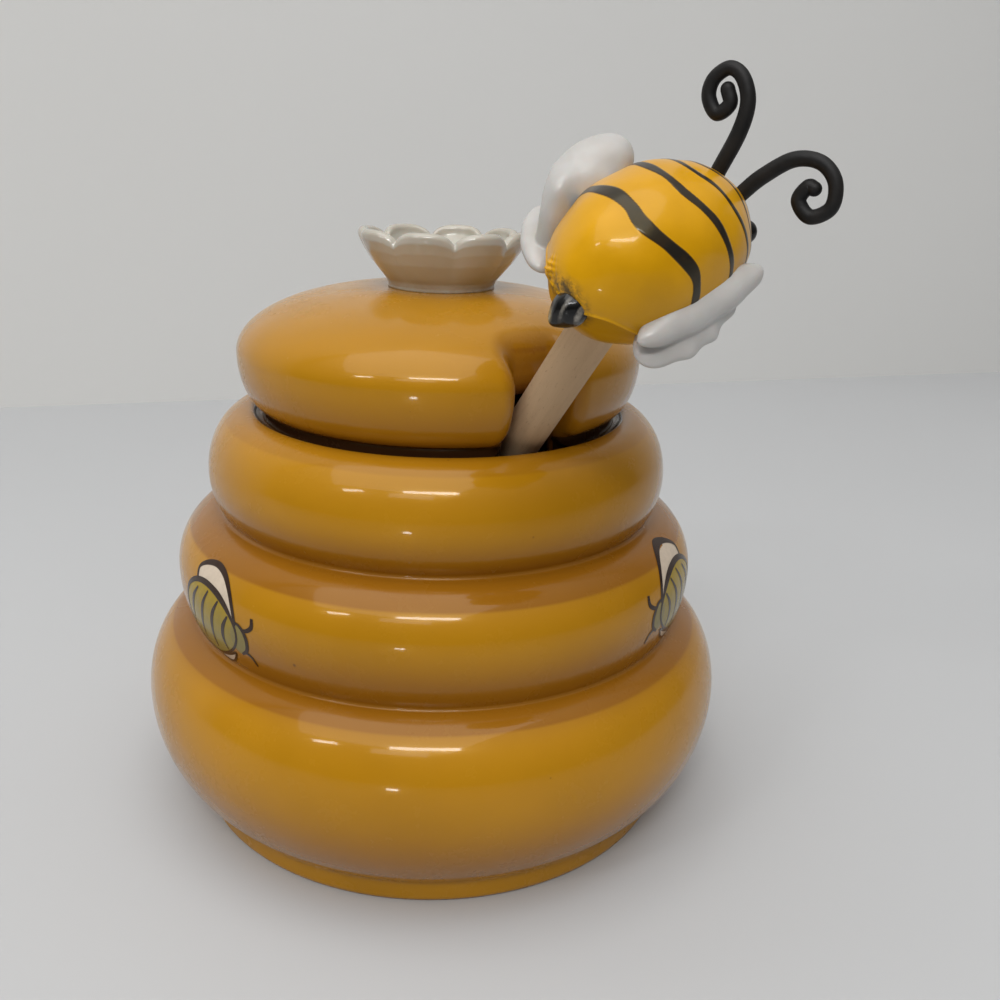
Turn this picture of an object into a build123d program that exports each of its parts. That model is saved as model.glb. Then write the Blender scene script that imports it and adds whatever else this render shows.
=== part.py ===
from build123d import *
import math
import os

# Beehive honey pot with a lift-off lid and a bee-topped wooden dipper.
# Frame: +Z up, origin on the pot's axis at the underside, -Y is the pot's front.
# All sizes in millimetres.

os.makedirs("parts", exist_ok=True)

# ---------------------------------------------------------------- driving sizes
# Each ring of the hive: widest radius, its height, and the reach and rise of
# the quarter ellipse above it and of the one below it.
foot_radius = 51.0
foot_edge = 1.2

belly_radius, belly_height = 61.0, 25.4
belly_reach_up, belly_rise = 11.0, 15.6
belly_reach_down, belly_drop = 23.85, 25.4

middle_radius, middle_height = 53.6, 52.2
middle_reach_up, middle_rise = 9.5, 10.8
middle_reach_down, middle_drop = 6.5, 13.5

collar_radius, collar_height = 46.8, 71.3
collar_reach_up, collar_rise = 8.5, 11.9
collar_reach_down, collar_drop = 9.3, 11.6

groove_softness = 3.2       # how far the glaze rounds each groove
foot_softness = 1.0

wall = 4.8                  # pot wall
floor = 5.5                 # pot floor
floor_round = 5.0           # turn from the floor into the wall
ledge_drop = 1.2            # seat of the lid, below the crest of the collar
mouth_radius = 35.0         # bore under the seat
mouth_land = 3.0            # height of that bore

# Lid
lid_overhang = 3.7          # widest line of the lid, beyond the lid's foot
lid_above_crest = 11.6      # height of the lid's widest line above the crest of the pot
lid_flat, lid_rise = 9.0, 12.5      # radius of the flat top, its height above the widest line
lid_tuck, lid_drop = 1.5, 10.7      # how far the underside would run in behind the foot
lid_wall = 5.6
hollow_drop = 4.0           # the hollow's turn into its dome, below the lid's widest line
hollow_share = 0.8          # how much of the hollow's radius that turn takes
lid_seat_gap = 0.5          # radial gap outside the lid's foot
spigot_gap = 0.6            # radial gap of the locating ring in the mouth
spigot_depth = 4.5
spigot_wall = 3.0
notch_gap = 2.2             # between the stick and the notch's side walls
notch_depth = 6.8           # from the lid's widest line to the notch's back wall
notch_corner = 2.4          # rounding between the back wall and the side walls
notch_lip = 2.5             # rounding of the notch's mouth
notch_relief = 1.3          # height of the notch's back wall above the leaning stick

# Flower knob
knob_foot_radius = 10.6
knob_height = 10.5
knob_rim_radius = 17.1
knob_wall = 2.2
knob_floor = 2.9
petals = 8
petal_turn = 9.0
petal_radius = 7.2
petal_centre = 9.6

# Dipper: leans out through the notch
lean = 39.7                 # from the vertical
lean_azimuth = 29.6         # from the front towards the right
rim_azimuth = 28.9          # where the stick crosses the mouth
rim_gap = 0.3               # between the stick and the mouth's edge
rest_gap = 0.3              # between the head and the floor
stick_radius = 4.0
stick_above = 45.9          # from the mouth up to the stick's end, inside the bee
bee_bore_gap = 0.05         # radial gap of the stick in the bee
glue_line = 0.02            # between glued pieces
head_length = 30.0
head_radius = 11.0
head_core = 5.6
head_discs = 5
disc_share = 0.56           # part of each pitch that is disc

# Bee, measured in its own frame: X to the head, Y to the left wing, Z along the stick
bee_turn = 19.4             # heading, about the stick
bee_x, bee_y, bee_z = 1.8, -0.35, 49.4
bee_half_length, bee_radius = 19.3, 13.2
fore_wing_half, fore_wing_radius = 13.0, 3.6
hind_wing_half, hind_wing_radius = 10.4, 3.8
stinger_radius, stinger_length = 2.6, 4.2
stinger_drop = 12.0
eye_radius = 1.9
antenna_radius = 1.15
antenna_root_x, antenna_root_y, antenna_root_z = 13.57, 2.55, 10.13
antenna_tilt = 72.3         # plane of the curl, from the bee's length towards its back
curl_rise, curl_side = 7.4, 7.9     # middle of the curl, from the root
curl_start, curl_end = 5.1, 1.9     # radius of the curl at its two ends
curl_turn = 330.0


# ---------------------------------------------------------------- helpers
def ellipse_gap(distance, half):
    """cosine of a quarter ellipse at that share of its half height"""
    return math.sqrt(max(0.0, 1.0 - (distance / half) ** 2))


def ring_radius(z, radius, height, reach_up, rise, reach_down, drop):
    """outer radius of one ring at height z, very small outside its span"""
    if z >= height:
        if z > height + rise:
            return radius - reach_up - 4 * (z - height - rise)
        return radius - reach_up + reach_up * ellipse_gap(z - height, rise)
    if z < height - drop:
        return radius - reach_down - 4 * (height - drop - z)
    return radius - reach_down + reach_down * ellipse_gap(height - z, drop)


def soft_max(a, b, softness):
    h = max(softness - abs(a - b), 0.0) / softness
    return max(a, b) + h * h * softness / 4


def hive_radius(z):
    belly = ring_radius(z, belly_radius, belly_height, belly_reach_up, belly_rise,
                        belly_reach_down, belly_drop)
    middle = ring_radius(z, middle_radius, middle_height, middle_reach_up, middle_rise,
                         middle_reach_down, middle_drop)
    collar = ring_radius(z, collar_radius, collar_height, collar_reach_up, collar_rise,
                         collar_reach_down, collar_drop)
    r = soft_max(soft_max(belly, middle, groove_softness), collar, groove_softness)
    if z < belly_height / 2:
        r = soft_max(r, foot_radius, foot_softness)
    return r


def even_points(curve, spacing):
    """thin a dense list of points to an even spacing, keeping both ends"""
    kept = [curve[0]]
    for p in curve[1:-1]:
        if math.dist(p, kept[-1]) >= spacing and math.dist(p, curve[-1]) > spacing * 0.6:
            kept.append(p)
    return kept + [curve[-1]]


def hive_curve():
    """outside of the pot, from the foot's edge up to the crest of the collar"""
    points = []
    z = foot_edge
    while z < collar_height:
        points.append((hive_radius(z), z))
        z += 0.1
    for i in range(91):
        a = math.radians(i)
        points.append((collar_radius - collar_reach_up + collar_reach_up * math.cos(a),
                       collar_height + collar_rise * math.sin(a)))
    return points


def inset_curve(points, depth):
    """the same curve moved inwards by the wall"""
    moved = []
    for i in range(2, len(points) - 2):
        dr = points[i + 2][0] - points[i - 2][0]
        dz = points[i + 2][1] - points[i - 2][1]
        n = math.hypot(dr, dz)
        moved.append((points[i][0] - depth * dz / n, points[i][1] + depth * dr / n))
    return moved


def turned(edges):
    """solid of revolution about Z from a closed outline in the XZ plane"""
    face = make_face(Wire(edges))
    return revolve(face, Axis.Z, 360)


def rz(r, z):
    return Vector(r, 0, z)


def spline_rz(points):
    return Edge.make_spline([rz(*p) for p in points])


lid_height = collar_height + collar_rise + lid_above_crest
crest_radius = collar_radius - collar_reach_up
crest_height = collar_height + collar_rise
seat_height = crest_height - ledge_drop
seat_outer = crest_radius - ledge_drop
lid_foot_radius = seat_outer - lid_seat_gap
lid_radius = lid_foot_radius + lid_overhang
lid_reach_up = lid_radius - lid_flat
lid_reach_down = lid_overhang + lid_tuck
notch_half_width = stick_radius + notch_gap
notch_back = lid_radius - notch_depth
# the leaning stick passes under the notch's back wall at this height
stick_rise = (notch_back - mouth_radius
              + (2 * stick_radius + rim_gap) / math.cos(math.radians(lean))) / math.tan(math.radians(lean))
notch_under = seat_height + stick_rise + notch_relief


# ---------------------------------------------------------------- pot
def make_pot():
    outer = hive_curve()
    outside = even_points(outer, 1.4)
    inside = [p for p in inset_curve(outer, wall)
              if floor + floor_round < p[1] < seat_height - mouth_land - 0.8
              and (p[0] > mouth_radius + 1.0 or p[1] < collar_height)]
    inside = even_points(inside, 2.0)
    first, second, last = inside[0], inside[1], inside[-1]
    # the wall runs on down to the floor in its own direction, then turns level
    slope = (second[0] - first[0]) / (second[1] - first[1])
    meet = first[0] - slope * (first[1] - floor)
    level = meet - floor_round
    land_low = seat_height - mouth_land
    diagonal = 1 - math.sqrt(0.5)
    edges = [
        Edge.make_line(rz(0, 0), rz(foot_radius - foot_edge, 0)),
        Edge.make_three_point_arc(rz(foot_radius - foot_edge, 0),
                                  rz(foot_radius - foot_edge * diagonal, foot_edge * diagonal),
                                  rz(*outside[0])),
        spline_rz(outside),
        Edge.make_three_point_arc(rz(crest_radius, crest_height),
                                  rz(crest_radius - ledge_drop * math.sqrt(0.5),
                                     crest_height - ledge_drop * diagonal),
                                  rz(seat_outer, seat_height)),
        Edge.make_line(rz(seat_outer, seat_height), rz(mouth_radius, seat_height)),
        Edge.make_line(rz(mouth_radius, seat_height), rz(mouth_radius, land_low)),
        Edge.make_line(rz(mouth_radius, land_low), rz(*last)),
        spline_rz(inside[::-1]),
        Edge.make_bezier(rz(*first), rz(meet, floor), rz(level, floor)),
        Edge.make_line(rz(level, floor), rz(0, floor)),
        Edge.make_line(rz(0, floor), rz(0, 0)),
    ]
    return turned(edges)


# ---------------------------------------------------------------- lid
lid_top = lid_height + lid_rise
spigot_radius = mouth_radius - spigot_gap


def quarter(radius, height, reach, rise, a0, a1, steps):
    """points on a quarter ellipse; rise is negative for the lower one"""
    out = []
    for i in range(steps + 1):
        a = math.radians(a0 + (a1 - a0) * i / steps)
        out.append((radius - reach + reach * math.cos(a), height + rise * math.sin(a)))
    return out


def arc_about(centre, radius, a0, a1):
    """arc in the plane, from the angle a0 to a1 in degrees"""
    middle = Vector(*centre)
    start, half_way, end = [middle + Vector(radius, 0).rotate(Axis.Z, a) for a in (a0, (a0 + a1) / 2, a1)]
    return Edge.make_three_point_arc(start, half_way, end)


def notch_tool():
    """upright notch with a soft mouth, open below where the stick leans in under the dome"""
    a = math.radians(rim_azimuth)
    out_dir = Vector(math.sin(a), -math.cos(a), 0)
    bottom = seat_height - spigot_depth - 1
    plane = Plane(origin=out_dir * notch_back + Vector(0, 0, bottom), x_dir=out_dir, z_dir=(0, 0, 1))
    # each lip's arc touches a side wall and the lid's widest line
    lip_side = notch_half_width + notch_lip
    lip_reach = math.sqrt((lid_radius - notch_lip) ** 2 - lip_side ** 2)
    lip_turn = math.degrees(math.atan2(lip_side, lip_reach))
    lip_out = lip_reach - notch_back
    flat = notch_half_width - notch_corner
    right = [
        arc_about((notch_corner, flat), notch_corner, 180, 90),
        arc_about((lip_out, lip_side), notch_lip, -90, lip_turn),
    ]
    left = [
        arc_about((lip_out, -lip_side), notch_lip, -lip_turn, 90),
        arc_about((notch_corner, -flat), notch_corner, -90, -180),
    ]
    beyond = lid_radius - notch_back + 1
    mouth = right[1] @ 1
    edges = [Edge.make_line(left[1] @ 1, right[0] @ 0), right[0], Edge.make_line(right[0] @ 1, right[1] @ 0),
             right[1], Edge.make_line(mouth, Vector(beyond, mouth.Y)),
             Edge.make_line(Vector(beyond, mouth.Y), Vector(beyond, -mouth.Y)),
             Edge.make_line(Vector(beyond, -mouth.Y), left[0] @ 0), left[0],
             Edge.make_line(left[0] @ 1, left[1] @ 0), left[1]]
    outline = Face(Wire(edges))
    tool = extrude(plane * outline, lid_top + 1 - bottom, dir=(0, 0, 1))
    inward = notch_back - spigot_radius + spigot_wall + notch_half_width / 2
    passage = Pos((notch_corner - inward) / 2, 0) * Rectangle(inward + notch_corner, 2 * notch_half_width)
    return tool + extrude(plane * passage, notch_under - bottom)


def make_lid():
    cos_foot = lid_tuck / lid_reach_down
    foot_angle = math.degrees(math.acos(cos_foot))
    lower = quarter(lid_radius, lid_height, lid_reach_down, -lid_drop, foot_angle, 0, 14)
    upper = quarter(lid_radius, lid_height, lid_reach_up, lid_rise, 0, 90, 22)
    hollow_radius = spigot_radius - spigot_wall
    hollow_reach = min(lid_reach_up, hollow_radius) * hollow_share
    hollow_rise = lid_rise - lid_wall + hollow_drop
    hollow_height = lid_height - hollow_drop
    inner = quarter(hollow_radius, hollow_height, hollow_reach, hollow_rise, 90, 0, 16)
    edges = [
        spline_rz(lower + upper[1:]),
        Edge.make_line(rz(*upper[-1]), rz(0, lid_top)),
        Edge.make_line(rz(0, lid_top), rz(0, hollow_height + hollow_rise)),
        Edge.make_line(rz(0, hollow_height + hollow_rise), rz(*inner[0])),
        spline_rz(inner),
        Edge.make_line(rz(*inner[-1]), rz(hollow_radius, seat_height - spigot_depth)),
        Edge.make_line(rz(hollow_radius, seat_height - spigot_depth),
                       rz(spigot_radius, seat_height - spigot_depth)),
        Edge.make_line(rz(spigot_radius, seat_height - spigot_depth), rz(spigot_radius, seat_height)),
        Edge.make_line(rz(spigot_radius, seat_height), rz(lid_foot_radius, seat_height)),
        Edge.make_line(rz(lid_foot_radius, seat_height), rz(*lower[0])),
    ]
    return turned(edges) - notch_tool()


# ---------------------------------------------------------------- flower knob
def make_knob():
    r0, r1, h, t = knob_foot_radius, knob_rim_radius, knob_height, knob_wall
    flare = r1 - r0
    outside = [(r0, 0), (r0 + 0.3 * flare, 0.16 * h), (r0 + 0.56 * flare, 0.34 * h),
               (r0 + 0.78 * flare, 0.55 * h), (r0 + 0.94 * flare, 0.78 * h), (r1, h)]
    inside = [(r1 - t * 0.8, h), (r1 - t - 0.3, 0.74 * h), (r1 - t - 1.6, 0.5 * h),
              (r0 - 0.1, 0.37 * h), (r0 - 3.6, 0.3 * h), (2.0, knob_floor)]
    edges = [
        Edge.make_line(rz(0, 0), rz(r0, 0)),
        spline_rz(outside),
        Edge.make_line(rz(r1, h), rz(r1 - t * 0.8, h)),
        spline_rz(inside),
        Edge.make_line(rz(2.0, knob_floor), rz(0, knob_floor)),
        Edge.make_line(rz(0, knob_floor), rz(0, 0)),
    ]
    bowl = turned(edges)
    outline = Circle(petal_centre)
    for i in range(petals):
        a = math.radians(petal_turn - 90 + 360 * (i + 0.5) / petals)
        outline += Pos(petal_centre * math.cos(a), petal_centre * math.sin(a)) * Circle(petal_radius)
    flower = bowl & extrude(outline, h + 1)
    return Pos(0, 0, lid_top) * flower


# ---------------------------------------------------------------- dipper
def dipper_plane():
    """plane across the stick where its axis passes the level of the lid's seat"""
    tilt, az = math.radians(lean), math.radians(lean_azimuth)
    up = Vector(math.sin(tilt) * math.sin(az), -math.sin(tilt) * math.cos(az), math.cos(tilt))
    level = Vector(math.cos(az), math.sin(az), 0)
    across = up.cross(level)
    turn = math.radians(bee_turn)
    heading = level * math.cos(turn) + across * math.sin(turn)
    r = mouth_radius - (stick_radius + rim_gap) / math.cos(tilt)
    place = math.radians(rim_azimuth)
    return Plane(origin=(r * math.sin(place), -r * math.cos(place), seat_height), x_dir=heading, z_dir=up)


def make_dipper():
    """one turned piece: the stick and its grooved head"""
    tilt = math.radians(lean)
    pitch = head_length / head_discs
    half = pitch * disc_share / 2
    edge = half * 0.8
    end_radius = disc_radius(0)
    # the end disc's lowest edge stops just above the pot's floor
    reach = (end_radius - edge) * math.sin(tilt) + (half - edge) * math.cos(tilt) + edge
    head_end = (seat_height - floor - rest_gap - reach) / math.cos(tilt) + pitch / 2
    low_centre = (Align.CENTER, Align.CENTER, Align.MIN)
    body = Pos(0, 0, -head_end + 1.2) * Cylinder(head_core, head_length - 1.2, align=low_centre)
    for i in range(head_discs):
        disc = Pos(0, 0, -head_end + pitch * (i + 0.5)) * Cylinder(disc_radius(i), 2 * half)
        body += fillet(disc.edges(), edge)
    start = -head_end + head_length - pitch * 0.3
    return body + Pos(0, 0, start) * Cylinder(stick_radius, stick_above - start, align=low_centre)


def disc_radius(i):
    """the head swells a little towards its middle disc"""
    share = abs(i + 0.5 - head_discs / 2) / (head_discs / 2)
    return head_radius * (1 - 0.16 * share * share)


# ---------------------------------------------------------------- bee
def egg(half_length, radius):
    """ellipsoid of revolution about X, from two quarter ellipses"""
    weights = [1, math.sqrt(0.5), 1]
    front = Edge.make_bezier((half_length, 0, 0), (half_length, radius, 0), (0, radius, 0), weights=weights)
    back = Edge.make_bezier((0, radius, 0), (-half_length, radius, 0), (-half_length, 0, 0), weights=weights)
    axis = Edge.make_line((-half_length, 0, 0), (half_length, 0, 0))
    return revolve(make_face(Wire([front, back, axis])), Axis.X, 360)


def bee_at(x, y, z):
    return Pos(bee_x + x, bee_y + y, bee_z + z)


def make_bee_body():
    body = bee_at(0, 0, 0) * egg(bee_half_length, bee_radius)
    depth = stick_above + glue_line
    bore = Cylinder(stick_radius + bee_bore_gap, depth, align=(Align.CENTER, Align.CENTER, Align.MIN))
    return body - bore


def make_bee_seat():
    """the bee's body with the glue line round it, which cuts the seats of the small pieces"""
    return bee_at(0, 0, 0) * egg(bee_half_length + glue_line, bee_radius + glue_line)


def lobe(half_length, radius, centre, axis):
    """slender egg along axis; centre is in shares of the bee's half sizes"""
    spot = (bee_x + centre[0] * bee_half_length, bee_y + centre[1] * bee_radius,
            bee_z + centre[2] * bee_radius)
    plane = Plane(origin=spot, x_dir=axis, z_dir=Vector(*axis).cross(Vector(0, 1, 0)))
    return plane.location * egg(half_length, radius)


def outer_part(shape, body):
    """what stands out of the body, as one solid"""
    rest = shape - body
    return max(rest.solids(), key=lambda solid: solid.volume)


def make_wing_left(body):
    fore = lobe(fore_wing_half, fore_wing_radius, (-0.03, 1.08, -0.04), (1.0, 0.3, 0.9))
    hind = lobe(hind_wing_half, hind_wing_radius, (-0.20, 1.08, -0.50), (1.0, 0.5, -0.1))
    return outer_part(fore + hind, body)


def make_wing_right(body):
    fore = lobe(fore_wing_half, fore_wing_radius, (-0.12, -0.92, 0.16), (1.0, -0.08, 0.32))
    hind = lobe(hind_wing_half, hind_wing_radius, (-0.20, -0.95, -0.06), (1.0, -0.01, 0.43))
    return outer_part(fore + hind, body)


def antenna_path(side):
    """stem that rises from the head and ends in an open curl"""
    tilt = math.radians(antenna_tilt)
    rise = Vector(math.cos(tilt), 0, math.sin(tilt))
    out = Vector(0, side, 0)
    root = Vector(bee_x + antenna_root_x, bee_y + side * antenna_root_y, bee_z + antenna_root_z)
    points = [root - rise * 1.6, root, root + rise * (curl_rise * 0.62) + out * (curl_side * 0.15)]
    centre = root + rise * curl_rise + out * curl_side
    steps = 7
    for i in range(steps + 1):
        a = math.radians(-75 + curl_turn * i / steps)
        r = curl_start + (curl_end - curl_start) * (i / steps) ** 0.7
        points.append(centre + rise * (r * math.cos(a)) + out * (r * math.sin(a)))
    return points


def make_antenna(side, body):
    path = Edge.make_spline(antenna_path(side))
    section = Plane(origin=path @ 0, z_dir=path % 0) * Circle(antenna_radius)
    wire = sweep(section, path=path)
    tip = Location(path @ 1) * Sphere(antenna_radius * 1.02)
    return outer_part(wire + tip, body)


def make_eye(side, body):
    spot = bee_at(0.86 * bee_half_length, side * 0.40 * bee_radius, 0.26 * bee_radius)
    return outer_part(spot * Sphere(eye_radius), body)


def make_stinger(body):
    drop = math.radians(stinger_drop)
    back = Vector(-math.cos(drop), 0, -math.sin(drop))
    root = Vector(bee_x - bee_half_length * math.cos(drop), bee_y, bee_z - bee_half_length * math.sin(drop))
    plane = Plane(origin=root - back * 2.0, z_dir=back)
    cone = extrude(plane * Circle(stinger_radius), stinger_length + 0.4)
    tip_edges = [e for e in cone.edges() if e.center().dot(back) > (root - back).dot(back)]
    cone = fillet(tip_edges, stinger_radius * 0.7)
    return outer_part(cone, body)


# ---------------------------------------------------------------- write the pieces
def save(shape, name):
    solid = shape.solids()[0]
    export_step(solid, "parts/" + name + ".step")
    box = solid.bounding_box()
    low = [round(v, 2) for v in box.min]
    high = [round(v, 2) for v in box.max]
    print(name, len(shape.solids()), "volume", round(solid.volume, 1), "from", low, "to", high)


save(make_pot(), "pot_body")
save(make_lid(), "lid")
save(make_knob(), "flower_knob")

stand = dipper_plane().location
save(stand * make_dipper(), "dipper")
save(stand * make_bee_body(), "bee_body")
body = make_bee_seat()
save(stand * make_wing_left(body), "bee_wing_left")
save(stand * make_wing_right(body), "bee_wing_right")
save(stand * make_antenna(1, body), "bee_antenna_left")
save(stand * make_antenna(-1, body), "bee_antenna_right")
save(stand * make_eye(1, body), "bee_eye_left")
save(stand * make_eye(-1, body), "bee_eye_right")
save(stand * make_stinger(body), "bee_stinger")
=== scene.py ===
import bpy
import bmesh
import math
import numpy as np
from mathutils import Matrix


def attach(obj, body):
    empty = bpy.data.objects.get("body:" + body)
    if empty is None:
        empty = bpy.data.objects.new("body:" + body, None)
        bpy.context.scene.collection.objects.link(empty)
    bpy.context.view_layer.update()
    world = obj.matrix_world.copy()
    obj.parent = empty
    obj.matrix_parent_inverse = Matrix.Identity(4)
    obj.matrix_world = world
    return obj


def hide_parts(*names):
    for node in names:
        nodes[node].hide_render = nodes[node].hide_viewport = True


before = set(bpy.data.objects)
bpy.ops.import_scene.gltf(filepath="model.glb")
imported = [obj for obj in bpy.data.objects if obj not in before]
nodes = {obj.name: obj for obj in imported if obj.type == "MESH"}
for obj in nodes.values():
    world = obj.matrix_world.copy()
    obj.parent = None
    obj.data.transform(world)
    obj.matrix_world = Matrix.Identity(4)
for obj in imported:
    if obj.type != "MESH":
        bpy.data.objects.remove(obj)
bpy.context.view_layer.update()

import openvdb
from mathutils import Matrix, Vector

MM = 0.001
SLOPE_STEP = 0.12                  # millimetres, for the slopes of a field

# =====================================================================================
# mesh helpers (all sizes below are in millimetres, turned into metres here)
# =====================================================================================
def new_mesh(name, verts, faces, smooth=True):
    me = bpy.data.meshes.new(name)
    me.from_pydata([tuple(v) for v in np.asarray(verts, float) * MM], [], [tuple(f) for f in faces])
    me.validate()
    me.update()
    ob = bpy.data.objects.new(name, me)
    bpy.context.scene.collection.objects.link(ob)
    if smooth:
        me.polygons.foreach_set("use_smooth", [True] * len(me.polygons))
    return ob


def grid_faces(rows, cols, wrap_cols=True):
    """quads between neighbouring rows of a grid, closed round its columns or left open"""
    faces = []
    for i in range(rows - 1):
        for j in range(cols if wrap_cols else cols - 1):
            a = i * cols + j
            b = i * cols + (j + 1) % cols
            faces.append((a, b, b + cols, a + cols))
    return faces


def lathe(profile, segments):
    """vertices and faces of a profile [(r, z)...] turned about Z; r = 0 ends are closed by a point"""
    verts, faces, rings = [], [], []
    ang = np.arange(segments) * 2 * math.pi / segments
    for r, z in profile:
        if r < 1e-6:
            rings.append([len(verts)])
            verts.append((0, 0, z))
        else:
            rings.append(list(range(len(verts), len(verts) + segments)))
            verts.extend(zip(r * np.cos(ang), r * np.sin(ang), np.full(segments, z)))
    for a, b in zip(rings[:-1], rings[1:]):
        for j in range(segments):
            k = (j + 1) % segments
            if len(a) == 1:
                faces.append((a[0], b[k], b[j]))
            elif len(b) == 1:
                faces.append((a[j], a[k], b[0]))
            else:
                faces.append((a[j], a[k], b[k], b[j]))
    return np.array(verts, float), faces


def add_float(ob, name, values):
    at = ob.data.attributes.new(name, "FLOAT", "POINT")
    at.data.foreach_set("value", np.asarray(values, np.float32))


def face_outwards(ob, weld=None):
    """turns every face outwards, after joining vertices closer than weld metres if it is given"""
    bm = bmesh.new()
    bm.from_mesh(ob.data)
    if weld:
        bmesh.ops.remove_doubles(bm, verts=bm.verts, dist=weld)
    bmesh.ops.recalc_face_normals(bm, faces=bm.faces)
    bm.to_mesh(ob.data)
    bm.free()


def smoothstep(a, b, x):
    t = np.clip((x - a) / (b - a), 0, 1)
    return t * t * (3 - 2 * t)


def unit(v):
    v = np.asarray(v, float)
    return v / np.linalg.norm(v)


def unit_rows(a):
    return a / np.linalg.norm(a, axis=1)[:, None]


def round_max(a, b, radius):
    """meeting of two fields with a round edge"""
    ua, ub = np.maximum(radius + a, 0), np.maximum(radius + b, 0)
    return np.minimum(-radius, np.maximum(a, b)) + np.hypot(ua, ub)


def round_min(a, b, radius):
    """union of two fields with a round valley"""
    return -round_max(-a, -b, radius)


def field_mesh(name, field, lo, hi, step):
    """closed surface where field(points) is 0, with normals taken from the field itself"""
    lo = np.array(lo, float)
    n = [int(math.ceil((b - a) / step)) + 1 for a, b in zip(lo, hi)]
    axes = [a + step * np.arange(k) for a, k in zip(lo, n)]
    values = np.empty(n, np.float32)
    for i, x in enumerate(axes[0]):
        gx, gy, gz = np.meshgrid([x], axes[1], axes[2], indexing="ij")
        values[i] = field(np.stack([gx, gy, gz], -1).reshape(-1, 3)).reshape(n[1], n[2])
    grid = openvdb.FloatGrid(5.0)
    grid.copyFromArray(values)
    pts, quads = grid.convertToQuads(isovalue=0.0)
    pts = lo + pts.astype(float) * step

    def slope(p):
        d = [field(p + SLOPE_STEP * ax) - field(p - SLOPE_STEP * ax) for ax in np.eye(3)]
        return np.stack(d, -1) / (2 * SLOPE_STEP)

    # Newton steps that pull the points onto the surface
    for _ in range(3):
        g = slope(pts)
        pts = pts - (field(pts) / np.maximum((g ** 2).sum(1), 0.05))[:, None] * g
    g = slope(pts)
    g /= np.maximum(np.linalg.norm(g, axis=1), 1e-9)[:, None]
    a, b, c = pts[quads[:, 0]], pts[quads[:, 1]], pts[quads[:, 2]]
    if (np.cross(b - a, c - a) * g[quads[:, 0]]).sum() < 0:
        quads = quads[:, ::-1]
    ob = new_mesh(name, pts, quads.tolist())
    ob.data.normals_split_custom_set_from_vertices(g.tolist())
    return ob, pts


class Outline:
    """signed distance to a closed outline in the (r, z) half plane, read from a fine grid"""

    def __init__(self, pts, lo, hi, step=0.15):
        self.lo, self.step = np.array(lo, float), step
        n = [int((b - a) / step) + 2 for a, b in zip(lo, hi)]
        r = lo[0] + step * np.arange(n[0])
        z = lo[1] + step * np.arange(n[1])
        gr, gz = np.meshgrid(r, z, indexing="ij")
        best = np.full(gr.shape, 1e9)
        inside = np.zeros(gr.shape, bool)
        p = np.array(pts, float)
        for (ax, az), (bx, bz) in zip(p, np.roll(p, -1, axis=0)):
            ex, ez = bx - ax, bz - az
            t = np.clip(((gr - ax) * ex + (gz - az) * ez) / max(ex * ex + ez * ez, 1e-12), 0, 1)
            best = np.minimum(best, (gr - ax - t * ex) ** 2 + (gz - az - t * ez) ** 2)
            if az != bz:
                cross = ((az > gz) != (bz > gz)) & (gr < ax + (gz - az) * ex / ez)
                inside ^= cross
        self.table = np.sqrt(best) * np.where(inside, -1, 1)
        self.n = n

    def __call__(self, r, z):
        x = np.clip((r - self.lo[0]) / self.step, 0, self.n[0] - 1.001)
        y = np.clip((z - self.lo[1]) / self.step, 0, self.n[1] - 1.001)
        i, j = x.astype(int), y.astype(int)
        fx, fy = x - i, y - j
        t = self.table
        return ((t[i, j] * (1 - fx) + t[i + 1, j] * fx) * (1 - fy)
                + (t[i, j + 1] * (1 - fx) + t[i + 1, j + 1] * fx) * fy)


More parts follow.
